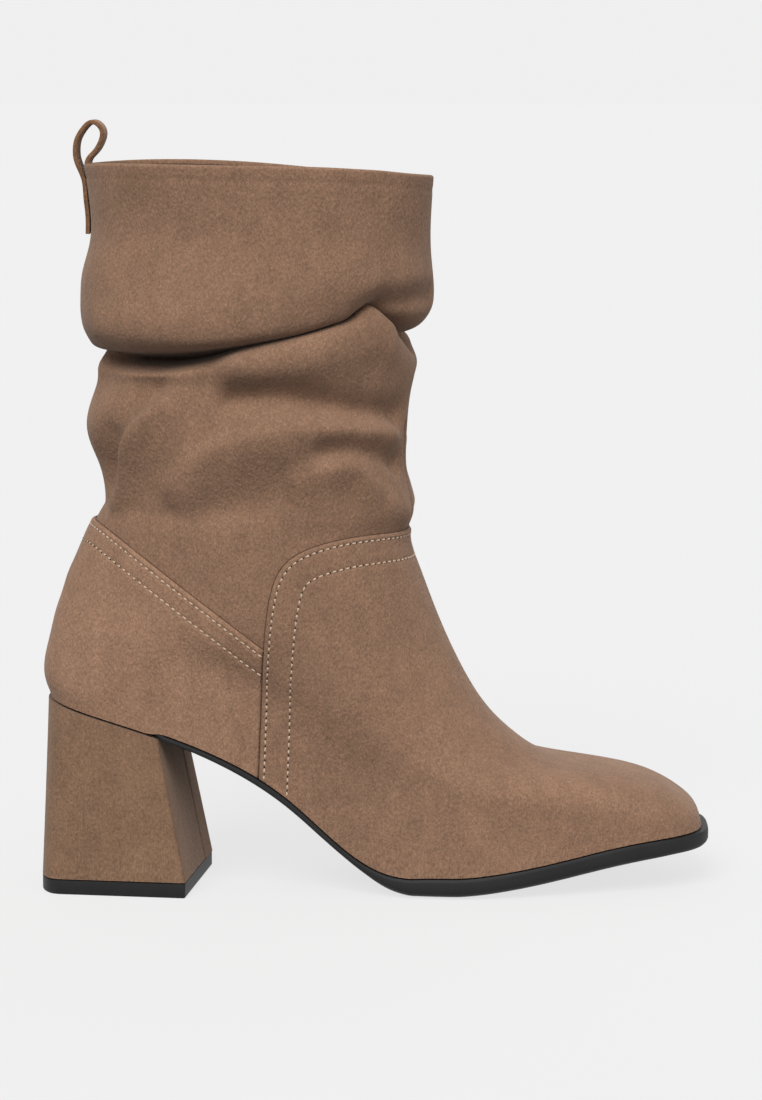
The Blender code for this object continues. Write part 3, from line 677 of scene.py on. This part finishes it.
def panel(name, turns, field, seam_field, seams, thick, material):
    """A panel on the upper, cut where its field is above 0, and the paths of its thread rows."""
    row = skin_rows(lambda k: PANEL_FACET)
    row = row[row <= PANEL_TOP]
    turn = np.linspace(*turns)
    form = bmesh.new()
    for r in row:
        for t in turn:
            form.verts.new((t, r, 0.0))
    form.verts.ensure_lookup_table()
    for quad in ring_faces(len(row), len(turn), wrap=False):
        form.faces.new([form.verts[k] for k in quad])
    for level in (-SHADOW_BAND_WIDE,) + EDGE_LEVELS:
        split_along(form, field, level)
    rows_of_thread = []
    for seam in seams:
        for level in SEAM_LEVELS:
            cut = split_along(form, seam_field, seam + level)
            if level == 0.0:
                rows_of_thread.append(cut)
    middles = np.array([face.calc_center_median()[:2] for face in form.faces])
    outside = [face for face, value in zip(form.faces, field(*middles.T)) if value < -SHADOW_BAND_WIDE]
    bmesh.ops.delete(form, geom=outside, context="FACES")
    alive = set(form.verts)
    rows_of_thread = [dict.fromkeys(corner for corner in cut if corner in alive) for cut in rows_of_thread]
    threads = [np.array([corner.co[:2] for corner in chain(cut)]) for cut in rows_of_thread]
    bmesh.ops.triangulate(form, faces=form.faces)
    form.verts.index_update()
    turn, row = places(form)
    inside = np.clip(field(turn, row) / EDGE_ROUND, 0.0, 1.0)
    height = PANEL_SEAT + GAP + thick * np.sqrt(1 - (1 - inside) ** 2)
    for seam in seams:
        height = height - SEAM_DEEP * bell(seam_field(turn, row) - seam, SEAM_REACH)
    points = np.concatenate((skin(turn, row, height), skin(turn, row, np.full(len(turn), GAP))))
    count = len(turn)
    faces = [[c.index for c in face.verts] for face in form.faces]
    # faces beyond the panel's edge take the painted shadow
    in_shadow_band = field(turn, row)[np.array(faces)].mean(1) < 0
    faces += [[count + k for k in reversed(face)] for face in faces]
    for edge in form.edges:
        if len(edge.link_faces) == 1:
            loop = edge.link_loops[0]
            a, b = loop.vert.index, loop.link_loop_next.vert.index
            faces.append([b, a, count + a, count + b])
    form.free()
    lifted = [skin(path[:, 0], path[:, 1], np.full(len(path), GAP + PANEL_SEAT + thick - SEAM_DEEP))
              for path in threads]
    finish = np.zeros(len(faces), int)
    finish[:len(in_shadow_band)] = in_shadow_band
    return add_piece(name, points, faces, (material, PANEL_EDGE_SHADOW), finish), lifted


# Painted shadow: the dark band round the panels is this suede in a dark tone.
PANEL_EDGE_SHADOW = suede("painted panel edge shadow", (0.075, 0.044, 0.03))
VAMP_SUEDE = suede("vamp suede", SUEDE_TONE * 0.9, (0.0, 0.9, 0.2))
COUNTER_SUEDE = suede("counter suede", SUEDE_TONE * 1.02, (0.0, 0.6, -0.2))
vamp, vamp_threads = panel("vamp_panel", VAMP_TURNS, vamp_in, vamp_in, VAMP_SEAMS,
                           PANEL + VAMP_PROUD, VAMP_SUEDE)
counter, counter_threads = panel("counter_panel", COUNTER_TURNS, counter_in, counter_below, COUNTER_SEAMS,
                                 PANEL, COUNTER_SUEDE)
for piece, node in ((vamp, "vamp"), (counter, "counter")):
    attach(piece, "root")
    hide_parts(node)

# Thread: two rows of pale lockstitch along the edge of each panel, drawn down into the suede.
# Each stitch is a short bead of thread with a gap where it goes through; in each gap a dark bead paints the
# shade of the needle hole.
STITCH_PITCH = 2.55
STITCH_LONG = 1.7
THREAD_RADIUS = 0.4
THREAD_END = 0.6 * STITCH_PITCH  # bare at both ends of a row
# sizes of the dark beads of painted shade in the needle holes
HOLE_LONG = 0.75
HOLE_RADIUS = 0.36


def wire(tree, *links):
    """Joins nodes: a link is a node and its output, then a node and its input."""
    for source, given, target, taken in links:
        tree.links.new(source.outputs[given], target.inputs[taken])


def thread_row_tree():
    """Beads of thread along a path, one to every pitch."""
    tree = bpy.data.node_groups.new("thread row", "GeometryNodeTree")
    face = tree.interface
    face.new_socket("Path", in_out="INPUT", socket_type="NodeSocketGeometry")
    sockets = {name: face.new_socket(name, in_out="INPUT", socket_type="NodeSocketFloat").identifier
               for name in ("Pitch", "Stitch", "Radius")}
    thread = face.new_socket("Thread", in_out="INPUT", socket_type="NodeSocketMaterial")
    sockets["Thread"] = thread.identifier
    face.new_socket("Stitches", in_out="OUTPUT", socket_type="NodeSocketGeometry")
    inside, outside, to_curve, spaced, bead, size, scaled, place, real, smooth, finish = add_nodes(
        tree, "NodeGroupInput", "NodeGroupOutput", "GeometryNodeMeshToCurve", "GeometryNodeCurveToPoints",
        "GeometryNodeMeshUVSphere", "ShaderNodeCombineXYZ", "GeometryNodeTransform",
        "GeometryNodeInstanceOnPoints", "GeometryNodeRealizeInstances", "GeometryNodeSetShadeSmooth",
        "GeometryNodeSetMaterial")
    spaced.mode = "LENGTH"
    bead.inputs["Segments"].default_value = 8
    bead.inputs["Rings"].default_value = 6
    bead.inputs["Radius"].default_value = 1.0
    wire(tree, (inside, "Path", to_curve, "Mesh"), (to_curve, "Curve", spaced, "Curve"),
         (inside, "Pitch", spaced, "Length"), (inside, "Radius", size, "X"),
         (inside, "Radius", size, "Y"), (inside, "Stitch", size, "Z"),
         (bead, "Mesh", scaled, "Geometry"), (size, "Vector", scaled, "Scale"),
         (spaced, "Points", place, "Points"), (spaced, "Rotation", place, "Rotation"),
         (scaled, "Geometry", place, "Instance"), (place, "Instances", real, "Geometry"),
         (real, "Geometry", smooth, "Geometry"), (smooth, "Geometry", finish, "Geometry"),
         (inside, "Thread", finish, "Material"), (finish, "Geometry", outside, "Stitches"))
    return tree, sockets


def thread_finish(name, tone):
    """Spun polyester thread, with a light twist; in a dark tone it also paints the shade in needle holes.
    """
    material, tree, shader, place = new_material(name, 0.7, 0.3)
    twist = noise(tree, place, 2500, 2)
    tree.links.new(shaded(tree, twist, tone, 0.6, 1.2), shader.inputs["Base Color"])
    return material


THREAD = thread_finish("pale thread", (0.5, 0.37, 0.27))
THREAD_TREE, THREAD_SOCKETS = thread_row_tree()


def sew(name, paths, stitch, radius, material):
    """Thread rows along paths, as one plain mesh."""
    points = np.concatenate(paths)
    starts = np.cumsum([0] + [len(path) for path in paths[:-1]])
    edges = [(first + k, first + k + 1) for first, path in zip(starts, paths) for k in range(len(path) - 1)]
    mesh = bpy.data.meshes.new(name + "_path")
    mesh.from_pydata((points * MM + ORIGIN).tolist(), edges, [])
    path_object = add_object(name + "_path", mesh)
    rows = path_object.modifiers.new("thread", "NODES")
    rows.node_group = THREAD_TREE
    rows[THREAD_SOCKETS["Pitch"]] = STITCH_PITCH * MM
    rows[THREAD_SOCKETS["Stitch"]] = stitch / 2 * MM
    rows[THREAD_SOCKETS["Radius"]] = radius * MM
    rows[THREAD_SOCKETS["Thread"]] = material
    made = path_object.evaluated_get(bpy.context.evaluated_depsgraph_get())
    sewn = add_object(name, bpy.data.meshes.new_from_object(made))
    bpy.data.objects.remove(path_object)
    return sewn


def lengths(path):
    """Length along a path at each of its points."""
    return np.concatenate(([0.0], np.cumsum(np.linalg.norm(np.diff(path, axis=0), axis=1))))


def begun(path, start, end):
    """A path cut short at both ends."""
    length = lengths(path)
    at = np.linspace(start, length[-1] - end, 2 * len(path))
    return np.stack([np.interp(at, length, path[:, k]) for k in range(3)], -1)


# painted shade: dark beads where the thread goes into the suede
HOLE_SHADE = thread_finish("painted needle hole shade", (0.022, 0.013, 0.009))
threads = [begun(path, THREAD_END, THREAD_END) for path in vamp_threads + counter_threads]
panel_thread = sew("panel_thread", threads, STITCH_LONG, THREAD_RADIUS, THREAD)
needle_hole_shade = sew("needle_hole_shade", [begun(path, STITCH_PITCH / 2, 0.0) for path in threads],
                   HOLE_LONG, HOLE_RADIUS, HOLE_SHADE)
for piece in (panel_thread, needle_hole_shade):
    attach(piece, "root")

# Insole: a thin board under a brown sock of lining cloth, lying on the sole inside the upper.
# Its own solid has the right form, so it keeps it and takes the sock's finish.
SOCK = lining_cloth("sock", (0.1, 0.064, 0.046))
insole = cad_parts["insole"]
insole.data.materials.clear()
insole.data.materials.append(SOCK)

# Outsole: one black rubber unit, a thin flexible waist and heel seat and a thicker forefoot with toe
# spring. Its side is buffed matt and its top edge stands out a little beyond the suede.
EDGE_FROM, EDGE_TO = 0.40, 0.52
EDGE_LIFT, EDGE_BEVEL = 1.8, 6.0
SOLE_STATIONS = 220
SOLE_RINGS = (
    # inset, share of the side's height (below 0: under the tread, by its own bevel)
    (EDGE_BEVEL, -1.0), (3.0, -1.0), (1.2, -1.0), (0.35, 0.10), (0.02, 0.26), (0.0, 0.5), (0.0, 0.76),
    (0.12, 0.9), (0.5, 1.0), (3.4, 1.0), (9.0, 1.0),
)


def tread(x, edge):
    forefoot = ease((x / LENGTH - EDGE_FROM) / (EDGE_TO - EDGE_FROM))
    return sole_under(x) + EDGE_LIFT * forefoot * (1 - np.minimum(1.0, edge / EDGE_BEVEL))


def sole_ring(inset, share):
    """Points round the sole, along the outer side to the toe and back by the inner side."""
    along = (1 - np.cos(np.linspace(0, np.pi, SOLE_STATIONS))) / 2
    back, front = inset, LENGTH - inset
    x = back + SEAT_INSET + (front - back - SEAT_INSET) * along
    centre, half = sole_sides(x)
    half = (half - inset) * (end_round(x - back, HEEL_ROUND, HEEL_SQUARE)
                             * end_round(front - x, TOE_ROUND, TOE_SQUARE))
    half = half * (1 - on_heel(x) * np.minimum(1.0, SEAT_INSET / np.maximum(half, 1e-6)))
    low = tread(x, inset if share < 0 else 0.0)
    height = low + max(share, 0.0) * (sole_top(x) - low)
    outer = np.stack((x, centre - half, height), -1)
    inner = np.stack((x, centre + half, height), -1)
    return np.concatenate((outer, inner[-2:0:-1]))


def capped(rings):
    """Quads of a stack of sole rings, with both ends closed across."""
    count = len(rings[0])
    faces = ring_faces(len(rings), count)
    for first in (0, (len(rings) - 1) * count):
        across = [[first + k, first + k + 1, first + (count - k - 1) % count, first + (count - k) % count]
                  for k in range(SOLE_STATIONS - 1)]
        across = [list(dict.fromkeys(face)) for face in across]
        faces += across if first else [face[::-1] for face in across]
    return np.concatenate(rings), faces


def rubber(name, tone, roughness):
    """Moulded black rubber, faintly grained and scuffed."""
    material, tree, shader, place = new_material(name, roughness, 0.25)
    grain = noise(tree, place, 1400, 2)
    cloud = noise(tree, place, 60, 3)
    factor = weighed(tree, (grain, 0.4), (cloud, 0.8))
    tree.links.new(shaded(tree, factor, tone, 0.75, 1.35), shader.inputs["Base Color"])
    tree.links.new(raised(tree, grain, 0.25, 0.08), shader.inputs["Normal"])
    return material


SOLE_RUBBER = rubber("sole rubber", (0.011, 0.011, 0.0115), 0.6)
sole_points, sole_faces = capped([sole_ring(*ring) for ring in SOLE_RINGS])
outsole = add_piece("unit_sole", sole_points, sole_faces, (SOLE_RUBBER,))
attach(outsole, "root")
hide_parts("outsole")

# Heel: a flared block wrapped in the upper's suede. The cover is drawn round the sides and lapped in an
# upright seam on the breast, nearer its inner edge.
HEEL_TURN = np.radians(-5.5)
HEEL_BASE_BACK = -0.9
HEEL_BASE_LONG = 56.0
HEEL_BASE_HALF = (27.6, 29.5)
HEEL_BASE_ROUND = 10.0
LIFT_HIGH = 5.3
BREAST_CORNER = 1.6             # rounding of the two upright corners at the breast
COVER_SEAM = 0.47               # across the breast, from -1 at the outer side to 1 at the inner
COVER_LAP = 0.35
LAP_WIDE = 0.012                # of the breast's half width
HEEL_LEVELS = 26
SIDE_POINTS, CORNER_POINTS, BREAST_POINTS = 40, 9, 34


def heel_base(share, side, height):
    along = share * HEEL_BASE_LONG
    half = HEEL_BASE_HALF[0] + (HEEL_BASE_HALF[1] - HEEL_BASE_HALF[0]) * share
    across = side * half * end_round(along, HEEL_BASE_ROUND, HEEL_SQUARE)
    x = HEEL_BASE_BACK + along * np.cos(HEEL_TURN) - across * np.sin(HEEL_TURN)
    y = along * np.sin(HEEL_TURN) + across * np.cos(HEEL_TURN)
    return np.stack((x, y, np.full_like(along, height)), -1)


def heel_seat(share, side):
    centre, half = sole_sides(share * HEEL_BREAST)
    across = side * (half - GAP) * end_round(share * HEEL_BREAST, HEEL_ROUND, HEEL_SQUARE)
    x = GAP + share * (HEEL_BREAST - across * np.sin(HEEL_TURN))
    return np.stack((x, centre + across, sole_under(x) - GAP), -1)


def heel_outline(corner):
    """Shares along and across of a loop round the heel, with its breast corners rounded."""
    sides = 1 - np.cos(np.linspace(0, np.pi / 2, SIDE_POINTS))
    long_cut, wide_cut = corner / HEEL_BASE_LONG, corner / HEEL_BASE_HALF[1]
    sides = sides[sides < 1 - long_cut]
    arc = np.linspace(0, np.pi / 2, CORNER_POINTS)
    breast = np.unique(np.append(np.linspace(-1 + wide_cut, 1 - wide_cut, BREAST_POINTS),
                                 COVER_SEAM + LAP_WIDE * np.array((-1.0, 0.0, 1.0))))[1:-1]
    along = np.concatenate((sides, 1 - long_cut * (1 - np.sin(arc)), np.ones(len(breast)),
                            1 - long_cut * (1 - np.cos(arc)), sides[:0:-1]))
    across = np.concatenate((-np.ones(len(sides)), -1 + wide_cut * (1 - np.cos(arc)), breast,
                             1 - wide_cut * (1 - np.sin(arc)), np.ones(len(sides) - 1)))
    return along, across


def loft(loops):
    """A closed solid through loops of points, its ends fanned about their middles."""
    count = len(loops[0])
    faces = ring_faces(len(loops), count)
    points = np.concatenate(loops + [loops[0].mean(0)[None], loops[-1].mean(0)[None]])
    top = (len(loops) - 1) * count
    for k in range(count):
        faces.append([(k + 1) % count, k, len(points) - 2])
        faces.append([top + k, top + (k + 1) % count, len(points) - 1])
    return points, faces


def heel_loops():
    along, across = heel_outline(BREAST_CORNER)
    base, seat = heel_base(along, across, LIFT_HIGH + GAP), heel_seat(along, across)
    lapped = COVER_LAP * ease((across - COVER_SEAM) / LAP_WIDE + 0.5) * (along >= 1.0)
    lap = np.stack((lapped, np.zeros_like(lapped), np.zeros_like(lapped)), -1)
    return [base + (seat - base) * share + lap for share in np.linspace(0, 1, HEEL_LEVELS)]


# Painted light: the cover is one suede in two tones, and the breast, which faces away from the key, is
# painted lighter than the sides.
HEEL_SUEDE = suede("heel suede", SUEDE_TONE * (0.76, 0.77, 0.74), (0.0, 0.0, 0.6))
BREAST_SUEDE_PAINTED_LIGHTER = suede("breast suede painted lighter", SUEDE_TONE * 1.05, (0.0, 0.0, 0.6))
heel_points, heel_faces = loft(heel_loops())
on_breast = np.tile(heel_outline(BREAST_CORNER)[0] >= 1.0, HEEL_LEVELS).tolist() + [False, False]
heel = add_piece("covered_heel", heel_points, heel_faces, (HEEL_SUEDE, BREAST_SUEDE_PAINTED_LIGHTER),
                 [all(on_breast[k] for k in face) for face in heel_faces])
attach(heel, "root")
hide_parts("heel_block")

# Top piece: a black rubber lift of the heel's outline, the part that wears and is replaced.
# It is nailed under the block, trimmed flush with the cover and bevelled at its edges.
LIFT_RUBBER = rubber("lift rubber", (0.012, 0.012, 0.0125), 0.55)
LIFT_BEVEL = 0.35
LIFT_CORNER = 0.6 * BREAST_CORNER


def lift_loops():
    along, across = heel_outline(LIFT_CORNER)
    shrink = 1 - LIFT_BEVEL / HEEL_BASE_HALF[0]
    rings = ((0.0, shrink), (LIFT_BEVEL, 1.0), (LIFT_HIGH - LIFT_BEVEL / 2, 1.0), (LIFT_HIGH, shrink))
    loops = []
    for height, scale in rings:
        loop = heel_base(along, across, height)
        middle = loop.mean(0)
        loops.append(np.concatenate((middle[:2] + (loop[:, :2] - middle[:2]) * scale, loop[:, 2:]), 1))
    return loops


lift = add_piece("heel_top_piece", *loft(lift_loops()), (LIFT_RUBBER,))
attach(lift, "root")
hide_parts("heel_lift")

# Pull loop: a strip of folded suede with cut brown edges, sewn flat to the back of the cuff, turned over
# above the collar and caught inside its rim.
LOOP_WIDE, LOOP_THICK = 13.0, 1.6
LOOP_DROP, LOOP_LEAVES, LOOP_FLAT = 24.0, 4.0, 8.0
LOOP_EYE = np.array((
    # out   up
    (-2.8, 2.5), (-2.9, 6.0), (-2.3, 9.5), (-0.3, 13.1), (3.4, 15.9), (6.7, 13.1), (6.3, 9.0), (3.9, 5.2),
    (1.4, 2.4),
))
LOOP_STATIONS = 140
HOLLOW_AT = 0.02                # place around, beside the back, where the wall's hollow is measured
LOOP_ACROSS = np.array((-1.0, -0.97, -0.9, -0.5, 0.0, 0.5, 0.9, 0.97, 1.0))
LOOP_CUT = np.array((0.72, 0.93, 1.0, 1.0, 1.0, 1.0, 1.0, 0.93, 0.72))


def loop_strip():
    """Points, quads and finish of the strip: its two faces, then its cut edges and ends."""
    collar = upper_point(0.0, TOP_ROW)
    wall = upper_point(0.0, np.linspace(ROW["hem"], TOP_ROW, 60))
    path = []
    for drop in np.linspace(LOOP_DROP, LOOP_LEAVES, 4):
        height = collar[2] - drop
        path.append((np.interp(height, wall[:, 2], wall[:, 0]) - GAP - LOOP_THICK / 2, height))
    path += [(collar[0] + out, collar[2] + up) for out, up in LOOP_EYE]
    path.append((collar[0] + WALL / 2, collar[2] + 2 * GAP))
    path = np.array(path)
    length = lengths(path)
    path = curve(length, path, np.linspace(0, length[-1], LOOP_STATIONS))
    ahead = np.gradient(path, axis=0)
    ahead = ahead / np.linalg.norm(ahead, axis=1)[:, None]
    side = np.stack((-ahead[:, 1], ahead[:, 0]), -1)
    beside = upper_point(HOLLOW_AT, TOP_ROW)
    hollow = (beside[0] - collar[0]) / beside[1] ** 2
    on_wall = ease((collar[2] + LOOP_FLAT - path[:, 1]) / LOOP_FLAT)
    across = np.concatenate((LOOP_ACROSS, LOOP_ACROSS[::-1])) * LOOP_WIDE / 2
    half = np.concatenate((LOOP_CUT, -LOOP_CUT[::-1])) * LOOP_THICK / 2
    grid = np.empty((LOOP_STATIONS, len(across), 3))
    grid[..., 0] = path[:, :1] + side[:, :1] * half + on_wall[:, None] * hollow * across ** 2
    grid[..., 1] = across
    grid[..., 2] = path[:, 1:] + side[:, 1:] * half
    count = len(across)
    faces = ring_faces(LOOP_STATIONS, count)
    wide = len(LOOP_ACROSS)
    cut = [0 if 1 <= k % wide < wide - 2 else 1 for k in range(len(faces))]
    last = (LOOP_STATIONS - 1) * count
    faces += [list(range(count))[::-1], list(range(last, last + count))]
    return grid.reshape(-1, 3), faces, cut + [1, 1]


LOOP_SUEDE = suede("loop suede", SUEDE_TONE * 1.05)
LOOP_EDGE = suede("loop cut edge", (0.17, 0.088, 0.045))
strip_points, strip_faces, strip_cut = loop_strip()
pull_loop = add_piece("pull_loop_strip", strip_points, strip_faces, (LOOP_SUEDE, LOOP_EDGE), strip_cut)
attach(pull_loop, "root")
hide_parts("pull_loop")

# Studio: a plain pale floor under soft, even light, with the key from the upper left of the camera and
# a fill from either side. The camera stands as far off and as high as the photograph's did.
CAMERA_PLACE = Vector((0.03675, -1.34967, 0.29517))     # metres
CAMERA_TURN = np.radians(1.5)
CAMERA_DOWN = np.radians(7.315)
CAMERA_LENS = 122.64
LIGHTS = (
    # name        comes from          power spread (degrees)
    ("key", (-0.16, -0.72, 0.68), 3.0, 38.0),
    ("side fill", (0.85, -0.25, 0.3), 0.45, 60.0),
    ("back fill", (0.1, 0.85, 0.5), 0.7, 60.0),
)
FLOOR_TONE = 0.12
FLOOR_GLOW = 0.727
# Tones of the room by height, from 0 straight down to 1 straight up.
ROOM_TONES = ((0.02, 0.14), (0.42, 0.14), (0.485, 0.868), (0.57, 0.868), (0.66, 0.42), (0.98, 0.42))

camera_data = bpy.data.cameras.new("camera")
camera_data.lens = CAMERA_LENS
camera_data.sensor_width = 36.0
camera_data.clip_end = 100.0
camera = add_object("camera", camera_data)
camera.location = CAMERA_PLACE
forward = Vector((-np.sin(CAMERA_TURN) * np.cos(CAMERA_DOWN), np.cos(CAMERA_TURN) * np.cos(CAMERA_DOWN),
                  -np.sin(CAMERA_DOWN)))
camera.rotation_euler = forward.to_track_quat("-Z", "Y").to_euler()
bpy.context.scene.camera = camera

FLOOR_HALF = 30.0               # metres
FLOOR_CORNERS = ((-1, -1), (1, -1), (1, 1), (-1, 1))
floor_mesh = bpy.data.meshes.new("floor")
floor_mesh.from_pydata([(x * FLOOR_HALF, y * FLOOR_HALF, 0.0) for x, y in FLOOR_CORNERS],
                       [], [(0, 1, 2, 3)])
floor = add_object("floor", floor_mesh)
floor_material, _, floor_shader, _ = new_material("pale floor", 1.0, 0.0)
floor_shader.inputs["Base Color"].default_value = (FLOOR_TONE, FLOOR_TONE, FLOOR_TONE, 1)
floor_shader.inputs["Emission Color"].default_value = (1, 1, 1, 1)
floor_shader.inputs["Emission Strength"].default_value = FLOOR_GLOW
floor_mesh.materials.append(floor_material)
floor.visible_diffuse = False

# The room is pale at eye level and dimmer above and below, so that the key shapes the folds.
world = bpy.data.worlds.new("studio")
world.use_nodes = True
room = world.node_tree
direction, parted, height_share, tones = add_nodes(
    room, "ShaderNodeTexCoord", "ShaderNodeSeparateXYZ", "ShaderNodeMapRange", "ShaderNodeValToRGB")
height_share.inputs["From Min"].default_value = -1.0
height_share.inputs["From Max"].default_value = 1.0
for place, tone in ROOM_TONES:
    spot = tones.color_ramp.elements.new(place)
    spot.color = (tone, tone, tone, 1)
tones.color_ramp.elements.remove(tones.color_ramp.elements[0])
tones.color_ramp.elements.remove(tones.color_ramp.elements[-1])
wire(room, (direction, "Generated", parted, "Vector"), (parted, "Z", height_share, "Value"),
     (height_share, "Result", tones, "Fac"), (tones, "Color", room.nodes["Background"], "Color"))
bpy.context.scene.world = world
bpy.context.scene.view_settings.view_transform = "Standard"

for light_name, comes_from, power, spread in LIGHTS:
    light_data = bpy.data.lights.new(light_name, "SUN")
    light_data.energy = power
    light_data.angle = np.radians(spread)
    light = add_object(light_name, light_data)
    light.rotation_euler = (-Vector(comes_from)).to_track_quat("-Z", "Y").to_euler()
